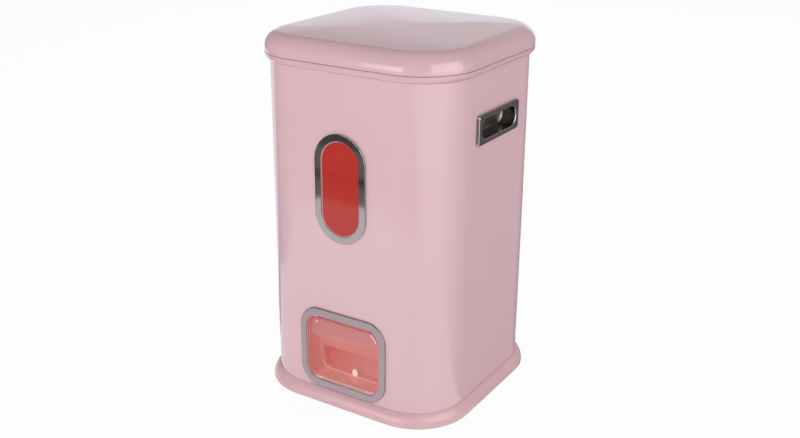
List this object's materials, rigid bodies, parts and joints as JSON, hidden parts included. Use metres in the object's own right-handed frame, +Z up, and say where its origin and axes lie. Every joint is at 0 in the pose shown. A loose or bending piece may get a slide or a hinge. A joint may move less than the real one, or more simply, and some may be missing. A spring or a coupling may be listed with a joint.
{
  "type": "rice bucket",
  "caption": "Upright rounded rice bucket with a hinged domed lid, recessed side grips, a sight window and an outlet flap over a scoop well.",
  "frame": {"origin": "on the ground, under the middle of the casing", "axes": "+Z up, front with the window and outlet towards -Y, +X to the right seen from the front"},
  "size_m": [0.2568, 0.258, 0.42],
  "materials": {
    "pink_enamel": "glossy pink enamel on sheet steel",
    "pink_moulding": "glossy pink moulded plastic, matched to the enamel",
    "grey_moulding": "plain moulded plastic inside the casing",
    "liner_moulding": "pale moulded plastic with a satin surface",
    "bin_coral": "translucent coral moulding",
    "tray_coral": "glossy coral moulding",
    "flap_coral": "clear coral moulding",
    "pane_coral": "clear coral moulding",
    "seal_coral": "soft coral gasket",
    "seal_rubber": "black rubber gasket",
    "foot_rubber": "dark rubber",
    "bright_chrome": "bright plated trim",
    "screw_steel": "zinc plated steel"
  },
  "bodies": {
    "casing": {"body_shell": "pink_enamel", "base_ring": "pink_moulding", "bottom_plate": "grey_moulding", "foot_front_left": "foot_rubber", "foot_front_right": "foot_rubber", "foot_rear_left": "foot_rubber", "foot_rear_right": "foot_rubber", "top_collar": "pink_moulding", "rice_hopper": "bin_coral", "outlet_tray": "tray_coral", "outlet_frame": "bright_chrome", "flap_pivot_rod": "screw_steel", "window_bezel": "bright_chrome", "window_pane": "pane_coral", "window_seal": "seal_rubber", "window_retainer": "grey_moulding", "handle_right": "bright_chrome", "handle_left": "bright_chrome", "handle_bracket_right": "grey_moulding", "handle_bracket_left": "grey_moulding", "lid_hinge_pin": "screw_steel"},
    "lid": {"lid_shell": "pink_moulding", "lid_liner": "liner_moulding", "lid_seal": "seal_coral"},
    "flap": {"outlet_flap": "flap_coral"}
  },
  "joints": [
    {"name": "lid_hinge", "type": "hinge", "parent": "casing", "child": "lid", "pos_m": [0, 0.1266, 0.396], "axis": [-1, 0, 0], "range_deg": [0, 100]},
    {"name": "outlet_flap_hinge", "type": "hinge", "parent": "casing", "child": "flap", "pos_m": [0, -0.1176, 0.1038], "axis": [-1, 0, 0], "range_deg": [0, 90]}
  ]
}
